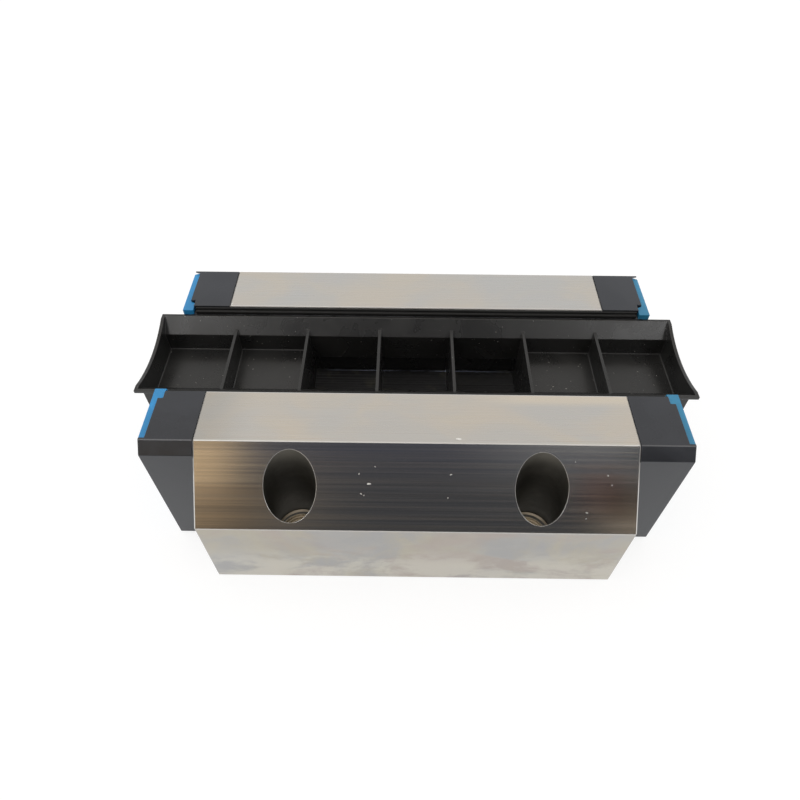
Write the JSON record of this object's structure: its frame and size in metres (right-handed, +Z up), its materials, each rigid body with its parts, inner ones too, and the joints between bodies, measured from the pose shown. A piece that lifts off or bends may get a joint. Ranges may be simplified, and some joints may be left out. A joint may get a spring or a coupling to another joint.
{
  "type": "profile rail bearing",
  "caption": "Flanged steel runner block for a profile rail, with roller circuits, end caps, blue wipers and a plastic transport rail in its slot.",
  "frame": {"origin": "middle of the mounting face, which lies on the table with the legs up", "axes": "+X along the rail, +Y across it, +Z up from the mounting face towards the legs"},
  "size_m": [0.2654, 0.17, 0.076],
  "materials": {
    "ground_steel": "ground",
    "roller_steel": "polished",
    "cap_plastic": "moulded, fine grain",
    "wiper_blue": "smooth",
    "seal_rubber": "smooth",
    "tray_plastic": "moulded, smooth",
    "guide_plastic": "moulded, smooth",
    "screw_steel": "black oxide"
  },
  "bodies": {
    "runner": {"cap_screws": "screw_steel", "end_cap_left": "cap_plastic", "end_cap_right": "cap_plastic", "lower_strip_far": "guide_plastic", "lower_strip_near": "guide_plastic", "middle_strip_far": "guide_plastic", "middle_strip_near": "guide_plastic", "port_plugs": "screw_steel", "return_guide_left_far": "guide_plastic", "return_guide_left_near": "guide_plastic", "return_guide_right_far": "guide_plastic", "return_guide_right_near": "guide_plastic", "return_tube_lower_far": "guide_plastic", "return_tube_lower_near": "guide_plastic", "return_tube_upper_far": "guide_plastic", "return_tube_upper_near": "guide_plastic", "roller_row_lower_far": "roller_steel", "roller_row_lower_near": "roller_steel", "roller_row_upper_far": "roller_steel", "roller_row_upper_near": "roller_steel", "runner_block": "ground_steel", "side_seal_far": "seal_rubber", "side_seal_near": "seal_rubber", "upper_strip_far": "guide_plastic", "upper_strip_near": "guide_plastic", "wiper_left": "wiper_blue", "wiper_right": "wiper_blue"},
    "tray": {"transport_rail": "tray_plastic"}
  },
  "joints": [
    {"name": "rail_slide", "type": "slide", "parent": "runner", "child": "tray", "axis": [1, 0, 0], "range_m": [-0.26, 0.26]}
  ]
}
